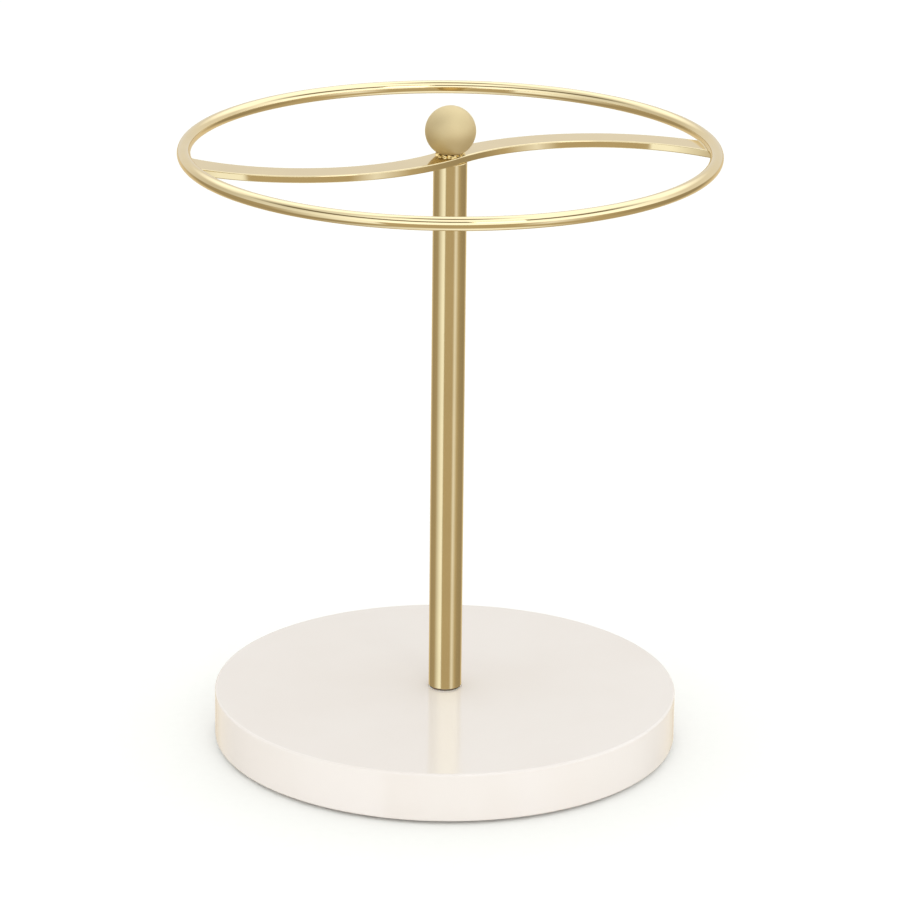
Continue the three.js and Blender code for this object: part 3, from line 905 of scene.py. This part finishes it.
def toothed_washer():
    """A spring washer whose outer teeth are each twisted, one corner up and one corner down."""
    bottom, top = low("toothed_washer").z, high("toothed_washer").z
    middle = (bottom + top) / 2
    half_thick = 0.18 * MM
    twist = (top - bottom) / 2 - half_thick
    root_r = 3.55 * MM
    # Where each tooth starts, its two corners with their lifts, and where it ends, in shares of a tooth
    tooth_outline = ((0, None), (0.14, twist), (0.5, -twist), (0.64, None))
    bm = bmesh.new()

    def pair(radius, angle, lift):
        out = Vector((math.cos(angle), math.sin(angle), 0)) * radius
        return [bm.verts.new(out + UP * (middle + lift + side)) for side in (half_thick, -half_thick)]

    def face(*corners):
        corners = list(dict.fromkeys(corners))
        if len(corners) > 2:
            bm.faces.new(corners)

    bore, rim, edge = [], [], []
    for tooth in range(TOOTH_COUNT):
        for share, lift in tooth_outline:
            angle = TAU * (tooth + share) / TOOTH_COUNT
            bore.append(pair(BAR_HOLE_R, angle, 0))
            rim.append(pair(root_r, angle, 0))
            edge.append(rim[-1] if lift is None else pair(TOOTH_TIP_R, angle, lift))
    for i in range(len(bore)):
        j = (i + 1) % len(bore)
        for side in (0, 1):
            face(bore[i][side], bore[j][side], rim[j][side], rim[i][side])
            face(rim[i][side], rim[j][side], edge[j][side], edge[i][side])
        face(bore[i][0], bore[j][0], bore[j][1], bore[i][1])
        face(edge[i][0], edge[j][0], edge[j][1], edge[i][1])
    return new_object("star_washer", to_mesh("star_washer", bm))


def build_finial():
    place(finial_ball(), "carousel", "satin_gold", FINIAL_GOLD, "ball_finial")
    place(finial_stud(), "carousel", "zinc_steel", ZINC, "finial_stud")
    place(toothed_washer(), "carousel", "polished_gold", RING_GOLD, "toothed_washer")


build_base()
build_bearing()
build_retainer()
build_spindle()
build_post()
build_bar_and_ring()
build_finial()


# ---------------------------------------------------------------- floor

def floor():
    m = Nodes("floor_paper", Roughness=0.9, Specular_IOR_Level=0)
    grain = m.noise(m.stretched(1, 1, 1), 0.4, detail=2)
    m.into("Base Color", m.colours(grain, (0.3, (0.93, 0.935, 0.92)), (0.7, (0.94, 0.945, 0.93))))
    # Just below the pad, so that the two don't share a plane
    height = -0.02 * MM
    disc = sweep("floor", [(0, height), (1, height), (8, height)], 96, closed=False)
    disc.data.materials.append(m.material)
    disc.visible_glossy = False


# ---------------------------------------------------------------- studio round the object

DEG = math.pi / 180
CARD = (1.03, 1.035, 1.0)


def degrees_ramp(t, angle, low_deg, high_deg, *stops):
    """A ramp of colour over an angle in degrees; each stop is (angle, colour)."""
    share = t.spread(angle, low_deg, high_deg, 0, 1)
    return t.colours(share, *[((at - low_deg) / (high_deg - low_deg), colour) for at, colour in stops])


# The Mix node's colour sockets, whose names its number sockets share
MIX_A, MIX_B, MIX_RESULT = 6, 7, 2


def mixed(t, share, a, b):
    node = t.add("ShaderNodeMix", {"Factor": share, MIX_A: a, MIX_B: b}, data_type="RGBA")
    return node.outputs[MIX_RESULT]


MIDDLE = (0.50, 0.42, 0.29)
BRIGHT = (1.32, 1.38, 1.46)
DARK = (0.22, 0.19, 0.14)
BELOW = (1.08, 1.12, 1.17)
SKY = (0.81, 0.79, 0.77)
CARD_LEFT = (1.06, 1.11, 1.16)
CARD_RIGHT = (0.92, 0.93, 0.97)


def metal_surround(t, azimuth, elevation):
    """What polished metal shows: soft panels with dark gaps, other ones behind than in front."""
    front = degrees_ramp(
        t, elevation, -90, 90,
        (-75, BELOW), (-62, MIDDLE), (-7, MIDDLE), (-3, BRIGHT), (27, BRIGHT),
        (33, DARK), (45, DARK), (51, BRIGHT), (76, BRIGHT), (83, DARK),
    )
    back = degrees_ramp(
        t, elevation, -90, 90,
        (-75, BELOW), (-60, MIDDLE), (-20, scaled(MIDDLE, 0.9)), (0, SKY),
        (22, SKY), (34, BRIGHT), (72, BRIGHT), (83, DARK),
    )
    sides = degrees_ramp(
        t, azimuth, -180, 180,
        (-150, scaled(MIDDLE, 1.5)), (-128, scaled(MIDDLE, 0.75)), (-84, scaled(MIDDLE, 0.85)),
        (-44, CARD_LEFT), (-31, CARD_LEFT), (-28, MIDDLE), (29, MIDDLE), (44, CARD_RIGHT),
        (66, scaled(MIDDLE, 1.05)), (84, scaled(MIDDLE, 0.78)), (128, scaled(MIDDLE, 0.68)),
        (150, scaled(MIDDLE, 1.5)),
    )
    to_back = t.spread(t.math("ABSOLUTE", azimuth), 80, 115, 0, 1)
    all_round = mixed(t, to_back, front, back)

    # A dark flag on the left
    off_left = t.math("ABSOLUTE", t.math("ADD", azimuth, 85))
    flag = t.colours(elevation, (0, DARK), (1, DARK))
    all_round = mixed(t, t.spread(off_left, 15, 60, 0.45, 0), all_round, flag)

    # The band just under the horizon, which the upright post shows
    fades_in = t.spread(elevation, -44, -32, 0, 1)
    fades_out = t.spread(elevation, -7, -3, 1, 0)
    return mixed(t, t.math("MULTIPLY", fades_in, fades_out), all_round, sides)


def studio():
    """White to the camera, a soft white dome to matt surfaces, and panels to polished metal."""
    world = bpy.data.worlds.new("studio")
    bpy.context.scene.world = world
    world.use_nodes = True
    t = Tree(world.node_tree)
    background = world.node_tree.nodes["Background"]
    direction = t.add("ShaderNodeTexCoord").outputs["Generated"]
    axes = t.add("ShaderNodeSeparateXYZ", {0: direction}).outputs
    azimuth = t.math("DIVIDE", t.math("ARCTAN2", axes["X"], t.math("MULTIPLY", axes["Y"], -1)), DEG)
    elevation = t.math("DIVIDE", t.math("ARCSINE", axes["Z"]), DEG)

    metal_sees = metal_surround(t, azimuth, elevation)
    dome = degrees_ramp(
        t, elevation, 0, 90,
        (0, (1.74, 1.77, 1.81)), (25, (1.47, 1.49, 1.50)),
        (45, scaled(CARD, 0.98)), (90, scaled(CARD, 0.62)),
    )
    rays = t.add("ShaderNodeLightPath").outputs
    surround = mixed(t, rays["Is Glossy Ray"], dome, metal_sees)
    backdrop = t.colours(elevation, (0, CARD), (1, CARD))
    t.tree.links.new(mixed(t, rays["Is Camera Ray"], surround, backdrop), background.inputs["Color"])
    world.cycles.sampling_method = "NONE"


def soft_light(name, azimuth, elevation, distance, size, power):
    """A square soft box that faces the middle of the rack. Azimuth is from the camera's side."""
    data = bpy.data.lights.new(name, "AREA")
    data.size = size
    data.energy = power
    light = bpy.data.objects.new(name, data)
    bpy.context.scene.collection.objects.link(light)
    flat = math.cos(elevation * DEG)
    towards = Vector((
        flat * math.sin(azimuth * DEG), -flat * math.cos(azimuth * DEG), math.sin(elevation * DEG),
    ))
    light.location = UP * RING_HEIGHT / 2 + towards * distance
    light.rotation_euler = towards.to_track_quat("Z", "Y").to_euler()
    light.visible_camera = False


floor()
studio()
soft_light("key", azimuth=22, elevation=37, distance=1.5, size=0.5, power=1.1)
bpy.context.scene.view_settings.view_transform = "Standard"


# ---------------------------------------------------------------- camera

CAMERA_AT = Vector((0, -1.255, 0.516))
CAMERA_LENS = 176.9
CAMERA_PITCH = math.radians(18.68)
CAMERA_YAW = math.radians(0.037)
CAMERA_ROLL = math.radians(0.6)

camera_data = bpy.data.cameras.new("camera")
camera_data.lens = CAMERA_LENS
camera_data.sensor_width = 36
camera = bpy.data.objects.new("camera", camera_data)
bpy.context.scene.collection.objects.link(camera)
camera.matrix_world = (
    Matrix.Translation(CAMERA_AT)
    @ Matrix.Rotation(-CAMERA_YAW, 4, "Z")
    @ Matrix.Rotation(math.pi / 2 - CAMERA_PITCH, 4, "X")
    @ Matrix.Rotation(CAMERA_ROLL, 4, "Z")
)
bpy.context.scene.camera = camera
